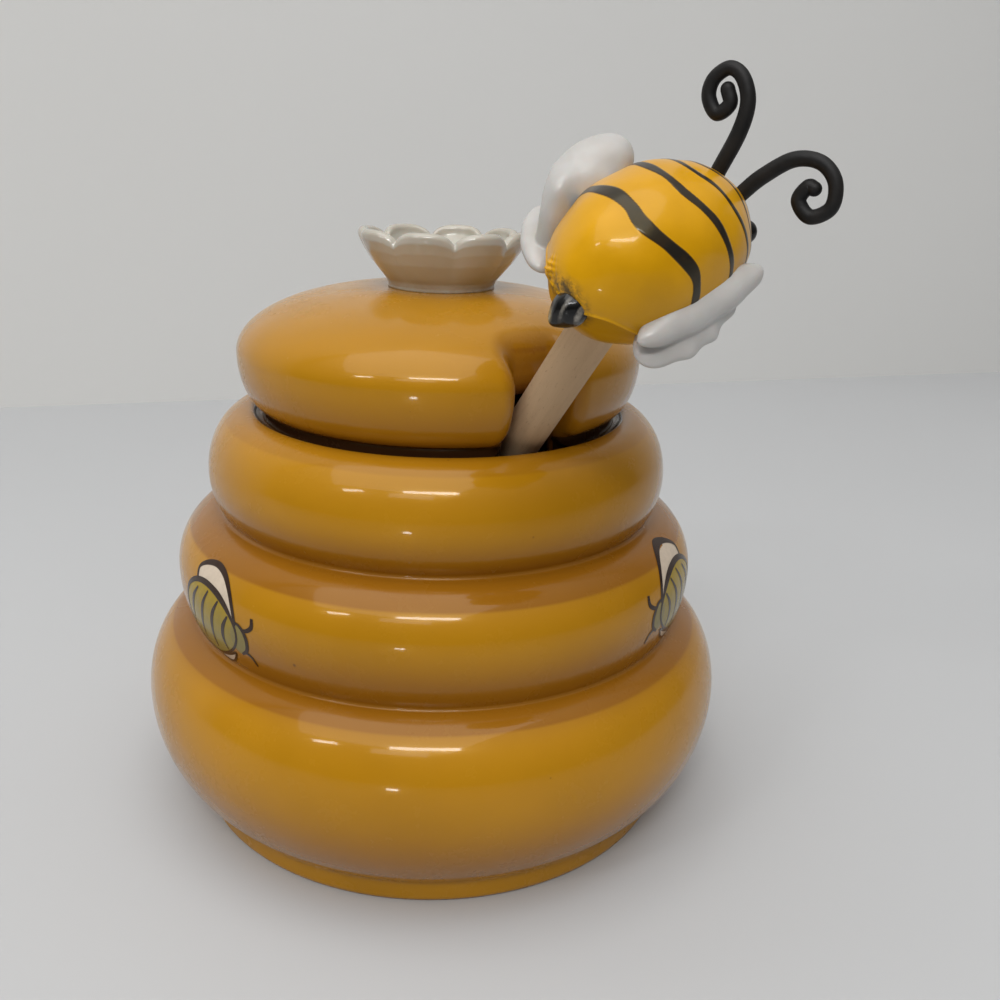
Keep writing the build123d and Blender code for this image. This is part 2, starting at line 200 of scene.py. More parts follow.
# =====================================================================================
# materials
# =====================================================================================
class Mat:
    """small wrapper that keeps node wiring short"""

    def __init__(self, name):
        self.m = bpy.data.materials.new(name)
        self.m.use_nodes = True
        self.t = self.m.node_tree
        self.b = self.t.nodes["Principled BSDF"]
        self.co = self.n("ShaderNodeTexCoord").outputs["Object"]

    def n(self, kind, **sets):
        node = self.t.nodes.new(kind)
        for k, v in sets.items():
            setattr(node, k, v)
        return node

    def link(self, a, b):
        self.t.links.new(a, b)

    def put(self, socket, v):
        if isinstance(v, bpy.types.NodeSocket):
            self.link(v, socket)
        else:
            socket.default_value = v

    def set(self, **kw):
        """values and sockets for the shader; an underscore in a name stands for a space"""
        for k, v in kw.items():
            self.put(self.b.inputs[k.replace("_", " ")], v)

    def noise(self, scale, detail=3.0, rough=0.5, vec=None):
        nd = self.n("ShaderNodeTexNoise")
        self.link(vec or self.co, nd.inputs["Vector"])
        nd.inputs["Scale"].default_value = scale
        nd.inputs["Detail"].default_value = detail
        nd.inputs["Roughness"].default_value = rough
        return nd.outputs["Fac"]

    def specks(self, scale, size, share):
        """round dots in a share of the cells; size and share are pairs where they fade out and in"""
        nd = self.n("ShaderNodeTexVoronoi")
        self.link(self.co, nd.inputs["Vector"])
        nd.inputs["Scale"].default_value = scale
        dot = self.ramp(nd.outputs["Distance"], [(size[0], 1.0), (size[1], 0.0)])
        pick = self.ramp(nd.outputs["Color"], [(share[0], 0.0), (share[1], 1.0)])
        return self.math("MULTIPLY", dot, pick)

    def ramp(self, fac, stops):
        nd = self.n("ShaderNodeValToRGB")
        self.link(fac, nd.inputs["Fac"])
        els = nd.color_ramp.elements
        while len(els) < len(stops):
            els.new(0.5)
        for e, (p, c) in zip(els, stops):
            e.position = p
            e.color = (c, c, c, 1)
        return nd.outputs["Color"]

    def mix(self, fac, a, b):
        nd = self.n("ShaderNodeMix", data_type="RGBA")
        self.put(nd.inputs[0], fac)
        for s, v in ((nd.inputs[6], a), (nd.inputs[7], b)):
            self.put(s, (*v, 1) if isinstance(v, tuple) and len(v) == 3 else v)
        return nd.outputs[2]

    def math(self, op, a, b, clamp=False):
        nd = self.n("ShaderNodeMath", operation=op, use_clamp=clamp)
        self.put(nd.inputs[0], a)
        self.put(nd.inputs[1], b)
        return nd.outputs[0]

    def stretched(self, vec, factors):
        nd = self.n("ShaderNodeVectorMath", operation="MULTIPLY")
        self.link(vec, nd.inputs[0])
        nd.inputs[1].default_value = factors
        return nd.outputs[0]

    def fade(self, axis, start, end, low, high):
        """a value that runs from low to high as one coordinate runs from start to end"""
        parts = self.n("ShaderNodeSeparateXYZ")
        self.link(self.co, parts.inputs[0])
        nd = self.n("ShaderNodeMapRange")
        self.link(parts.outputs[axis], nd.inputs["Value"])
        nd.inputs["From Min"].default_value = start
        nd.inputs["From Max"].default_value = end
        nd.inputs["To Min"].default_value = low
        nd.inputs["To Max"].default_value = high
        return nd.outputs[0]

    def attr(self, name):
        return self.n("ShaderNodeAttribute", attribute_name=name).outputs["Fac"]

    def bump(self, height, strength, distance, normal=None):
        nd = self.n("ShaderNodeBump")
        self.link(height, nd.inputs["Height"])
        nd.inputs["Strength"].default_value = strength
        nd.inputs["Distance"].default_value = distance
        if normal:
            self.link(normal, nd.inputs["Normal"])
        return nd.outputs["Normal"]

    def turned(self, rot):
        nd = self.n("ShaderNodeMapping")
        self.link(self.co, nd.inputs["Vector"])
        nd.inputs["Rotation"].default_value = rot
        return nd.outputs["Vector"]


def honey_glaze(name):
    m = Mat(name)
    tone = m.noise(22, 3, 0.55)
    col = m.mix(m.ramp(tone, [(0.35, 0.0), (0.68, 1.0)]), (0.415, 0.188, 0.0050), (0.495, 0.228, 0.0085))
    mottle = m.ramp(m.noise(180, 4, 0.6), [(0.45, 0.0), (0.75, 1.0)])
    col = m.mix(m.math("MULTIPLY", mottle, 0.10), col, (0.44, 0.18, 0.012))
    # pooled glaze in the grooves plus painted shade: the darkening value turns the glaze deep brown
    col = m.mix(m.ramp(m.attr("pool_and_shade"), [(0.0, 0.0), (0.8, 0.8)]), col, (0.235, 0.078, 0.006))
    # painted shadow: the highest darkening values turn the glaze nearly black in the gap under the lid
    col = m.mix(m.ramp(m.attr("pool_and_shade"), [(0.80, 0.0), (1.0, 1.0)]), col, (0.040, 0.016, 0.006))
    # pinholes and iron specks
    large = m.specks(85, (0.018, 0.034), (0.62, 0.66))
    small = m.specks(230, (0.03, 0.06), (0.74, 0.78))
    specks = m.math("ADD", large, m.math("MULTIPLY", small, 0.55), clamp=True)
    col = m.mix(m.math("MULTIPLY", specks, 0.72), col, (0.10, 0.035, 0.008))
    rough = m.ramp(m.noise(65, 5, 0.68), [(0.32, 0.14), (0.68, 0.34)])
    peel = m.noise(420, 2, 0.5)
    wave = m.noise(55, 2, 0.4)
    pits = m.noise(1500, 4, 0.65)
    nrm = m.bump(wave, 0.20, 0.0012)
    nrm = m.bump(peel, 0.06, 0.0004, nrm)
    patches = m.ramp(m.noise(70, 3, 0.6), [(0.35, 0.15), (0.65, 1.0)])
    nrm = m.bump(m.math("MULTIPLY", pits, patches), 0.16, 0.00016, nrm)
    nrm = m.bump(m.math("SUBTRACT", 1.0, specks), 0.25, 0.0002, nrm)
    m.set(Base_Color=col, Roughness=rough, Normal=nrm)
    m.set(Coat_Weight=0.40, Coat_Roughness=0.05, Coat_IOR=1.5, IOR=1.45, Specular_IOR_Level=0.28,
          Specular_Tint=(1.0, 0.74, 0.32, 1))
    return m.m


def white_glaze():
    m = Mat("white_glaze")
    tone = m.noise(60, 3, 0.5)
    col = m.mix(m.ramp(tone, [(0.3, 0.0), (0.7, 1.0)]), (0.43, 0.395, 0.32), (0.51, 0.48, 0.41))
    # painted bounce light: the flower's foot is tinted a darker amber for the light the honey lid throws onto
    # it
    low = m.fade("Z", 0.1073, 0.1098, 1.0, 0.0)
    edge = m.math("MULTIPLY", low, m.ramp(m.noise(500, 3, 0.6), [(0.3, 0.25), (0.7, 1.0)]))
    col = m.mix(m.math("MULTIPLY", edge, 0.55), col, (0.30, 0.15, 0.04))
    spots = m.specks(260, (0.03, 0.07), (0.80, 0.83))
    col = m.mix(m.math("MULTIPLY", spots, 0.6), col, (0.12, 0.08, 0.05))
    nrm = m.bump(m.noise(160, 3, 0.5), 0.12, 0.0006)
    m.set(Base_Color=col, Normal=nrm)
    m.set(Roughness=0.22, Coat_Weight=0.6, Coat_Roughness=0.05, Subsurface_Weight=0.08,
          Subsurface_Scale=0.004)
    return m.m


# the bee's own directions: up along the stick, ahead to its face, and to its right side
LEAN, AZ = math.radians(39.7), math.radians(29.6)
BEE_UP = np.array([math.sin(LEAN) * math.sin(AZ), -math.sin(LEAN) * math.cos(AZ), math.cos(LEAN)])
BEE_AHEAD = np.array([0.694, 0.688, 0.212])
BEE_AHEAD = unit(BEE_AHEAD - BEE_UP * (BEE_AHEAD @ BEE_UP))
BEE_SIDE = np.cross(BEE_AHEAD, BEE_UP)
BEE = np.array([31.24, -52.07, 120.17])
BEE_AX = np.array([19.3, 12.8, 13.7])          # along BEE_AHEAD, BEE_SIDE, BEE_UP
STICK_R = 4.0


def wood():
    m = Mat("beech")
    # turn object space so that Z runs along the stick
    q = Vector(BEE_UP).rotation_difference(Vector((0, 0, 1)))
    vec = m.turned(tuple(q.to_euler()))
    along = m.stretched(vec, (1.0, 1.0, 0.055))
    grain = m.noise(900, 5, 0.62, along)
    fleck = m.noise(3200, 3, 0.7, m.stretched(vec, (1.0, 1.0, 0.28)))
    broad = m.noise(120, 3, 0.5, along)
    col = m.mix(m.ramp(broad, [(0.3, 0.0), (0.7, 1.0)]), (0.47, 0.325, 0.185), (0.58, 0.41, 0.25))
    streaks = m.math("MULTIPLY", m.ramp(grain, [(0.42, 0.0), (0.62, 1.0)]), 0.12)
    col = m.mix(streaks, col, (0.25, 0.155, 0.085))
    pores = m.math("MULTIPLY", m.ramp(fleck, [(0.62, 0.0), (0.72, 1.0)]), 0.55)
    col = m.mix(pores, col, (0.16, 0.09, 0.045))
    nrm = m.bump(grain, 0.35, 0.00025)
    m.set(Base_Color=col, Normal=nrm)
    m.set(Roughness=0.72, Specular_IOR_Level=0.25)
    return m.m


def bee_paint():
    m = Mat("bee_paint")
    tone = m.noise(90, 3, 0.55)
    col = m.mix(m.ramp(tone, [(0.3, 0.0), (0.7, 1.0)]), (0.62, 0.300, 0.003), (0.72, 0.355, 0.004))
    # painted shade: the belly below the seam is painted a darker yellow
    col = m.mix(m.attr("shaded_belly"), col, (0.50, 0.24, 0.004))
    smear = m.ramp(m.noise(700, 4, 0.7), [(0.40, 0.0), (0.62, 1.0)])
    stripe = m.attr("stripe")
    # thin brown edge where the black paint lies over the yellow
    edge = m.ramp(stripe, [(0.04, 0.0), (0.42, 1.0)])
    col = m.mix(edge, col, (0.085, 0.040, 0.010))
    core = m.ramp(stripe, [(0.45, 0.0), (0.85, 1.0)])
    streak = m.ramp(m.noise(520, 3, 0.6), [(0.30, 0.80), (0.6, 1.0)])
    col = m.mix(m.math("MULTIPLY", core, streak), col, (0.018, 0.015, 0.012))
    soot = m.math("MULTIPLY", m.attr("soot"), smear)
    col = m.mix(m.math("MULTIPLY", soot, 0.9), col, (0.03, 0.024, 0.016))
    rust = m.attr("rust")
    col = m.mix(m.math("MULTIPLY", rust, 0.75), col, (0.11, 0.028, 0.008))
    nrm = m.bump(m.noise(260, 3, 0.5), 0.16, 0.0006)
    nrm = m.bump(stripe, 0.25, 0.0001, nrm)
    m.set(Base_Color=col, Normal=nrm)
    m.set(Roughness=0.30, Specular_IOR_Level=0.3, Specular_Tint=(1.0, 0.8, 0.35, 1), Coat_Weight=0.25,
          Coat_Roughness=0.08)
    return m.m


def white_paint():
    m = Mat("white_paint")
    tone = m.noise(130, 3, 0.55)
    col = m.mix(m.ramp(tone, [(0.3, 0.0), (0.75, 1.0)]), (0.49, 0.465, 0.435), (0.57, 0.56, 0.54))
    dirt = m.ramp(m.noise(330, 4, 0.6), [(0.58, 0.0), (0.75, 1.0)])
    col = m.mix(m.math("MULTIPLY", dirt, 0.22), col, (0.50, 0.45, 0.36))
    col = m.mix(m.math("MULTIPLY", m.attr("stain"), 0.45), col, (0.42, 0.37, 0.14))
    nrm = m.bump(m.noise(240, 3, 0.5), 0.18, 0.0006)
    m.set(Base_Color=col, Normal=nrm)
    m.set(Roughness=0.34, Coat_Weight=0.25, Coat_Roughness=0.15, Subsurface_Weight=0.12,
          Subsurface_Scale=0.002)
    return m.m


def black_paint(name="black_paint", rough=0.42):
    m = Mat(name)
    tone = m.ramp(m.noise(300, 4, 0.6), [(0.35, 0.0), (0.7, 1.0)])
    col = m.mix(tone, (0.005, 0.005, 0.005), (0.013, 0.011, 0.010))
    nrm = m.bump(m.noise(900, 3, 0.6), 0.2, 0.0003)
    m.set(Base_Color=col, Normal=nrm)
    m.set(Specular_IOR_Level=0.3, Roughness=rough)
    return m.m


def decal_ink(name, low, high):
    m = Mat(name)
    col = m.mix(m.attr("shade"), low, high)
    col = m.mix(m.math("MULTIPLY", m.ramp(m.noise(900, 3, 0.6), [(0.4, 0.0), (0.7, 1.0)]), 0.25), col,
                tuple(0.7 * c for c in low))
    m.set(Base_Color=col, Normal=m.bump(m.noise(55, 2, 0.4), 0.10, 0.0012))
    m.set(Roughness=0.22, Specular_IOR_Level=0.2, Specular_Tint=(1.0, 0.78, 0.45, 1), Coat_Weight=0.15,
          Coat_Roughness=0.06)
    return m.m


# =====================================================================================
# pot
# =====================================================================================
# each bulge: radius, height of its widest line, then depth and height of its upper and of its lower quarter
RINGS = [
    (61.0, 25.4, 11.0, 15.6, 23.85, 25.4),
    (53.6, 52.2, 9.5, 10.8, 6.5, 13.5),
    (46.8, 71.3, 8.5, 11.9, 9.3, 11.6),
]
FOOT_R, FOOT_EDGE = 51.0, 1.2
WALL, FLOOR = 4.8, 5.5
SEAT, MOUTH = 82.0, 35.0
GROOVE_SOFTNESS, FOOT_SOFTNESS, FOOT_HEIGHT = 3.2, 1.0, 12.7
COLLAR_R, COLLAR_Z = 38.3, 71.3            # middle of the collar's upper quarter


def ring_r(z, ring):
    """one bulge's radius at height z; past its ends it falls away steeply"""
    radius, middle, upper_depth, upper_height, lower_depth, lower_height = ring
    if z >= middle:
        depth, height = upper_depth, upper_height
    else:
        depth, height = lower_depth, lower_height
    over = abs(z - middle) - height
    if over > 0:
        return radius - depth - 4 * over
    return radius - depth + depth * math.sqrt(max(0, 1 - ((z - middle) / height) ** 2))


def soft_max(a, b, k):
    """the larger of two numbers, rounded over where they are within k of each other"""
    h = max(k - abs(a - b), 0.0) / k
    return max(a, b) + h * h * k / 4


def hive_r(z):
    """radius of the pot's outside at height z"""
    low, middle, collar = [ring_r(z, ring) for ring in RINGS]
    r = soft_max(soft_max(low, middle, GROOVE_SOFTNESS), collar, GROOVE_SOFTNESS)
    return soft_max(r, FOOT_R, FOOT_SOFTNESS) if z < FOOT_HEIGHT else r


def resample(pts, step):
    """points at even steps along a line"""
    pts = np.array(pts, float)
    d = np.concatenate([[0], np.cumsum(np.hypot(*np.diff(pts, axis=0).T))])
    n = max(2, int(round(d[-1] / step)) + 1)
    s = np.linspace(0, d[-1], n)
    return np.stack([np.interp(s, d, pts[:, 0]), np.interp(s, d, pts[:, 1])], 1)


def quarter(steps, start=0.0):
    return np.linspace(start, math.pi / 2, steps)


def pot_outside():
    flat_r = FOOT_R - FOOT_EDGE
    foot = [(flat_r + FOOT_EDGE * math.sin(a), FOOT_EDGE - FOOT_EDGE * math.cos(a)) for a in quarter(8)]
    side = [(hive_r(z), z) for z in np.arange(1.3, COLLAR_Z, 0.1)]
    collar = [(COLLAR_R + 8.5 * math.cos(a), COLLAR_Z + 11.9 * math.sin(a)) for a in quarter(60)]
    return resample(foot + side + collar, 0.55)


def pot_inside(outer):
    """the outside moved inwards by the wall, from the mouth down to the floor's corner"""
    t = unit_rows(np.gradient(outer, axis=0))
    inner = outer + WALL * np.stack([-t[:, 1], t[:, 0]], 1)
    inner = [p for p in inner[::-1] if FLOOR + 5 < p[1] < 78.2 and (p[0] > 36 or p[1] < 71)]
    inner = resample(inner, 1.0)
    last = inner[-1]
    end, bend = np.array([last[0] - 11.5, FLOOR]), np.array([4.2, -1.2])
    corner = [last + (end - last) * t + bend * 4 * t * (1 - t) * 0.6 for t in np.linspace(0.1, 1, 8)]
    return [tuple(p) for p in inner] + [tuple(p) for p in corner]


def pot_profile():
    outer = pot_outside()
    lip = [(COLLAR_R - 1.2 * math.sin(a), SEAT + 1.2 * math.cos(a)) for a in quarter(8, 0.2)]
    prof = [(0, 0)] + [(r, 0) for r in (20, 40, 49.8)] + [tuple(p) for p in outer[1:]] + lip
    prof += [(36.0, SEAT), (35.4, SEAT), (MOUTH, 81.6), (MOUTH, 79.4)] + pot_inside(outer)
    return np.array(prof + [(20, FLOOR), (0, FLOOR)])


def pot_pool_and_shade(verts):
    """0 to 1 where the glaze is painted darker: glaze pooled in the grooves with painted shade there, painted
    shade on the undersides and the inside, and painted shadow in the seat
    """
    r = np.hypot(verts[:, 0], verts[:, 1])
    z = verts[:, 2]
    pool_and_shade = np.zeros(len(verts))
    # pooled glaze in the grooves, with painted shade added there
    for groove, width, amount in ((62.6, 2.3, 0.62), (40.9, 2.4, 0.60)):
        pool_and_shade = np.maximum(pool_and_shade, amount * np.exp(-((z - groove) / width) ** 2))
    # painted shade on the inside and on the collar's top under the lid
    pool_and_shade[(r < 43) & (z > 20)] = 0.25
    # painted shade: the lower quarter of each bulge is darkened
    underside_shade = np.zeros(len(verts))
    for _, middle, _, _, _, height in RINGS:
        below = smoothstep(middle + 1.5, middle - 0.6 * height, z)
        underside_shade = np.maximum(underside_shade, below * (z > middle - height) * (z < middle + 2))
    pool_and_shade = np.maximum(pool_and_shade, 0.70 * underside_shade * smoothstep(3.0, 9.0, z))
    # painted shadow: the seat and the top of the mouth under the lid are darkened nearly to black
    pool_and_shade[(r < 37.6) & (z > 78)] = 0.93
    return pool_and_shade


def make_pot():
    verts, faces = lathe(pot_profile(), 320)
    ob = new_mesh("pot_glazed", verts, faces)
    add_float(ob, "pool_and_shade", pot_pool_and_shade(verts))
    ob.data.materials.append(honey_glaze("honey_glaze_pot"))
    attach(ob, "pot")
    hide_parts("pot_body")
    return ob


# =====================================================================================
# lid
# =====================================================================================
LID_Z, LID_TOP = 94.8, 107.3
NOTCH_AZ = math.radians(28.9)
NOTCH_DIR = np.array([math.sin(NOTCH_AZ), -math.cos(NOTCH_AZ), 0])
NOTCH_SIDE = np.array([math.cos(NOTCH_AZ), math.sin(NOTCH_AZ), 0])
NOTCH_HALF, NOTCH_BACK, NOTCH_CORNER = 5.5, 33.5, 2.4
LID_FOOT = 35.8
LIP_RADIUS, PASSAGE_LIP, HOLLOW_LIP = 4.0, 1.2, 0.7
LOW_R, LOW_DEPTH, LOW_HEIGHT = 35.1, 5.2, 10.7       # the lid's lower roll
UP_R, UP_DEPTH, UP_HEIGHT = 9.0, 31.3, 12.5          # its dome
RING_R, RING_Z, FOOT_Z = 34.4, 77.5, 82.02           # locating ring, and the underside of the lid's foot
HOLLOW_R, HOLLOW_TOP = 31.4, 101.7
STICK_AT_SEAT, PASSAGE_GAP, PASSAGE_START = 29.41, 0.9, 24.0
LID_TABLE = ((-4, 72), (48, 113))                    # reach of the outlines' distance tables


def lid_side():
    start = math.acos((LID_FOOT - LOW_R) / LOW_DEPTH)
    low = [(LOW_R + LOW_DEPTH * math.cos(a), LID_Z - LOW_HEIGHT * math.sin(a))
           for a in np.linspace(start, 0, 40)]
    up = [(UP_R + UP_DEPTH * math.cos(a), LID_Z + UP_HEIGHT * math.sin(a)) for a in quarter(110)]
    return low + up[1:]


def lid_outlines():
    ring = [(-8, LID_TOP), (-8, RING_Z), (RING_R, RING_Z), (RING_R, FOOT_Z), (LID_FOOT, FOOT_Z)]
    dome = [(6.3 + 25.1 * math.cos(a), 90.8 + 10.9 * math.sin(a)) for a in quarter(60)]
    hollow = [(-8, HOLLOW_TOP), (-8, 70), (HOLLOW_R, 70)] + dome
    return Outline(ring + lid_side(), *LID_TABLE), Outline(hollow, *LID_TABLE)


def lid_notch(p):
    """fields of the upright notch, and of the stick's way down through the wall and the locating ring"""
    along, side = p @ NOTCH_DIR, np.abs(p @ NOTCH_SIDE)
    qx = side - (NOTCH_HALF - NOTCH_CORNER)
    qy = NOTCH_BACK + NOTCH_CORNER - along
    upright = np.hypot(np.maximum(qx, 0), np.maximum(qy, 0)) + np.minimum(np.maximum(qx, qy), 0)
    over = math.cos(LEAN) * (STICK_AT_SEAT - along) + math.sin(LEAN) * (p[:, 2] - SEAT)
    q = np.stack([side - NOTCH_HALF, PASSAGE_START - along, over - STICK_R - PASSAGE_GAP], -1)
    low = np.linalg.norm(np.maximum(q, 0), axis=1) + np.minimum(q.max(1), 0)
    return upright - NOTCH_CORNER, low


def lid_pool_and_shade(co):
    """0 to 1 where the lid's glaze is painted darker: painted shade on its lower roll, in the notch and in
    the hollow, and painted shadow on its foot and locating ring
    """
    z = co[:, 2]
    upright, _ = lid_notch(co)
    # painted shadow round the neck of the lid's foot
    pool_and_shade = 0.35 * np.exp(-((z - 83.2) / 1.6) ** 2)
    # painted shade on the underside of the lower roll
    pool_and_shade = np.maximum(pool_and_shade, 0.42 * smoothstep(95, 86, z))
    # painted shadow: the foot and the locating ring are darkened nearly to black
    pool_and_shade = np.maximum(pool_and_shade, smoothstep(84.9, 84.1, z))
    # painted shade in the notch
    pool_and_shade = np.maximum(pool_and_shade, 0.55 * smoothstep(4.5, -0.3, upright) * (z > 83))
    # painted shade in the hollow and on the locating ring's inside
    return np.where(np.hypot(co[:, 0], co[:, 1]) < 33.2, np.where(z < 101, 0.72, pool_and_shade), pool_and_shade)


def make_lid():
    body, hollow = lid_outlines()

    def field(p):
        r, z = np.hypot(p[:, 0], p[:, 1]), p[:, 2]
        upright, low = lid_notch(p)
        solid = round_max(body(r, z), -upright, LIP_RADIUS)
        return round_max(round_max(solid, -low, PASSAGE_LIP), -hollow(r, z), HOLLOW_LIP)

    ob, co = field_mesh("lid_glazed", field, (-42.1, -42.1, 76.2), (42.1, 42.1, 108.6), 0.42)
    add_float(ob, "pool_and_shade", lid_pool_and_shade(co))
    ob.data.materials.append(honey_glaze("honey_glaze_lid"))
    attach(ob, "lid")
    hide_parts("lid")
    return ob


# =====================================================================================
# flower knob
# =====================================================================================
PETALS, PETAL_R, PETAL_CENTRE = 8, 7.2, 9.6
PETAL_TURN = math.radians(9 - 90)
KNOB_Z, KNOB_MEAN, KNOB_LIP = 107.3, 15.9, 1.05
KNOB_TILT = -0.030                                   # the flower was set a little askew
KNOB_OUTSIDE = [(10.6, 0.0), (10.5, 0.5), (10.9, 1.5), (12.2, 3.1), (13.8, 5.1), (15.1, 7.3), (15.9, 9.3),
                (15.9, 10.1)]
KNOB_INSIDE = [(13.75, 9.4), (13.3, 8.0), (12.4, 6.4), (10.8, 5.1), (8.6, 4.2), (6.0, 3.6), (3.5, 3.2),
               (1.4, 3.0)]


def petal_r(theta):
    """outline of overlapping round petals"""
    step = 2 * math.pi / PETALS
    first = PETAL_TURN + step / 2
    off = (theta - first + step / 2) % step - step / 2
    return PETAL_CENTRE * np.cos(off) + np.sqrt(PETAL_R ** 2 - (PETAL_CENTRE * np.sin(off)) ** 2)


def knob_rows(th):
    """rings of (radius, height) round the flower: outside, rounded lip and cup"""
    n = len(th)
    pr = petal_r(th)
    lobe = ((pr - pr.min()) / (pr.max() - pr.min())) ** 0.8          # 1 in the middle of a petal
    lip_h = 11.1 - 2.1 * (1 - lobe) ** 1.4

    def ring(r, z, t, power):
        grown = r * (1 + (pr / KNOB_MEAN - 1) * t ** power)
        raised = KNOB_Z + z * (1 + (lip_h / 11.1 - 1) * t ** 2)
        return grown, raised + KNOB_TILT * r * np.sin(th) * t

    rows = [(np.full(n, r), np.full(n, KNOB_Z)) for r in (0.0, 10.0)]
    for r, z in resample(KNOB_OUTSIDE, 0.3):
        rows.append(ring(r, z, min(z / 10.1, 1), 1.2))
    for a in np.linspace(0.25, math.pi, 10):
        c = (KNOB_MEAN - KNOB_LIP) + KNOB_LIP * math.cos(a)
        z = KNOB_Z + lip_h - KNOB_LIP + KNOB_LIP * math.sin(a) + KNOB_TILT * c * np.sin(th)
        rows.append((c * pr / KNOB_MEAN, z))
    for r, z in resample(KNOB_INSIDE, 0.4):
        t = max((z - 3.0) / 6.4, 0)
        grown, raised = ring(r, z, t, 1.3)
        rows.append((grown, raised + 0.3 * (1 - lobe) * math.sin(math.pi * min(t, 1))))
    return rows + [(np.zeros(n), np.full(n, KNOB_Z + 3.0))]


def make_knob():
    n = 384
    th = np.arange(n) * 2 * math.pi / n
    rows = knob_rows(th)
    verts = []
    for r, z in rows:
        verts += list(zip(r * np.cos(th), r * np.sin(th), z))
    ob = new_mesh("knob_flower_glazed", verts, grid_faces(len(rows), n))
    face_outwards(ob, weld=1e-6)
    ob.data.polygons.foreach_set("use_smooth", [True] * len(ob.data.polygons))
    ob.data.materials.append(white_glaze())
    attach(ob, "lid")
    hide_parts("flower_knob")
    return ob


# =====================================================================================
# bee
# =====================================================================================
def bee_point(h, w, u):
    """places in the scene of points given ahead, aside and up in the bee's own frame"""
    h, w, u = [np.atleast_1d(v) for v in (h, w, u)]
    return BEE + np.outer(h, BEE_AHEAD) + np.outer(w, BEE_SIDE) + np.outer(u, BEE_UP)


# painted stripes: points (along the body, across, up) in the bee's own frame, and half widths
STRIPES = [
    ([(-5.5, -12.6, -4), (-6.0, -12.2, 1), (-7.2, -10.9, 4.9), (-9.0, -8.4, 8.1), (-9.9, -5.7, 10.0),
      (-10.9, -2.5, 11.0), (-11.6, 0.0, 10.9), (-11.3, 2.6, 10.7), (-9.8, 5.5, 10.2), (-7.9, 8.1, 9.0),
      (-6.4, 10.2, 7.0), (-5.6, 11.7, 3.0), (-5.2, 12.2, -1.6)], 0.97),
    ([(1.5, -12.7, -4), (1.4, -12.4, 2), (0.3, -10.4, 8.4), (-1.5, -7.5, 11.0), (-2.8, -3.6, 13.0),
      (-3.2, 0.0, 13.5), (-2.0, 3.5, 13.1), (-0.6, 6.1, 12.0), (0.6, 8.6, 10.1), (1.8, 10.9, 7.0),
      (2.2, 12.3, 3), (2.2, 12.7, -3)], 0.72),
    ([(7.8, -11.4, -4), (7.4, -11.2, 3), (5.4, -8.5, 9.0), (3.6, -5.2, 12.4), (2.9, -2.6, 13.2),
      (3.1, -0.6, 13.5), (4.2, 2.2, 13.1), (5.3, 5.3, 11.9), (6.8, 8.2, 9.5), (7.8, 9.9, 6.5),
      (8.3, 10.9, 3), (8.5, 11.2, -3)], 0.48),
    ([(11.0, -9.6, 3), (9.2, -7.5, 7.6), (7.1, -4.1, 12.0), (7.6, -1.6, 12.4), (9.4, 0.6, 11.9),
      (10.0, 4.2, 10.7), (10.0, 7.2, 8.7), (10.6, 8.8, 6.3), (11.8, 9.4, 2)], 0.38),
    ([(14.6, -6.8, 5), (13.8, -3.5, 8.3), (13.6, 0.5, 9.6), (14.1, 4.2, 8.3), (14.8, 6.6, 5.4),
      (15.2, 7.6, 1.5)], 0.42),
]


def spline_through(pts, per=12):
    """Catmull-Rom points through pts"""
    p = np.array(pts, float)
    p = np.vstack([2 * p[0] - p[1], p, 2 * p[-1] - p[-2]])
    out = []
    for i in range(1, len(p) - 2):
        for t in np.linspace(0, 1, per, endpoint=False):
            a, b, c, d = p[i - 1:i + 3]
            bend, twist = 2 * a - 5 * b + 4 * c - d, 3 * b - a - 3 * c + d
            out.append(0.5 * (2 * b + (c - a) * t + bend * t * t + twist * t ** 3))
    out.append(p[-2])
    return np.array(out)


def stripe_paint(loc):
    """1 on a painted stripe and 0 off it"""
    stripe = np.zeros(len(loc))
    for pts, half in STRIPES:
        line = spline_through(pts, 10)
        line /= np.linalg.norm(line / BEE_AX, axis=1)[:, None]
        d = np.full(len(loc), 1e9)
        for s in range(0, len(loc), 20000):
            d[s:s + 20000] = np.sqrt(((loc[s:s + 20000, None] - line[None]) ** 2).sum(-1).min(1))
        width = half * (1 + 0.10 * np.sin(loc[:, 1] * 0.9 + pts[0][0]) + 0.06 * np.sin(loc[:, 2] * 1.7))
        width = width * (1 - 0.02 * np.maximum(loc[:, 1] - 2, 0))
        stripe = np.maximum(stripe, 1 - smoothstep(width - 0.12, width + 0.16, d))
    return stripe


def bee_relief(loc, stripe, shaded_belly, crease):
    """height of the hand-finished surface: unevenness, raised stripes, belly, its seam and a lump of paint"""
    x, y, z = loc.T
    uneven = 0.10 * np.sin(x * 0.55 + 1) * np.sin(y * 0.62) + 0.07 * np.sin(z * 0.8 + x * 0.3)
    seam = np.exp(-((z - crease - 0.1) / 0.28) ** 2) * smoothstep(-2.0, -9.0, x)
    off = np.linalg.norm(loc - np.array([-17.6, -5.0, -1.0]), axis=1)
    lump = 0.55 * np.exp(-(off / 1.3) ** 2) * (1 + 0.8 * np.sin(y * 5) * np.sin(z * 6))
    return uneven + 0.06 * stripe - 0.35 * shaded_belly + 0.30 * seam - 0.05 + lump


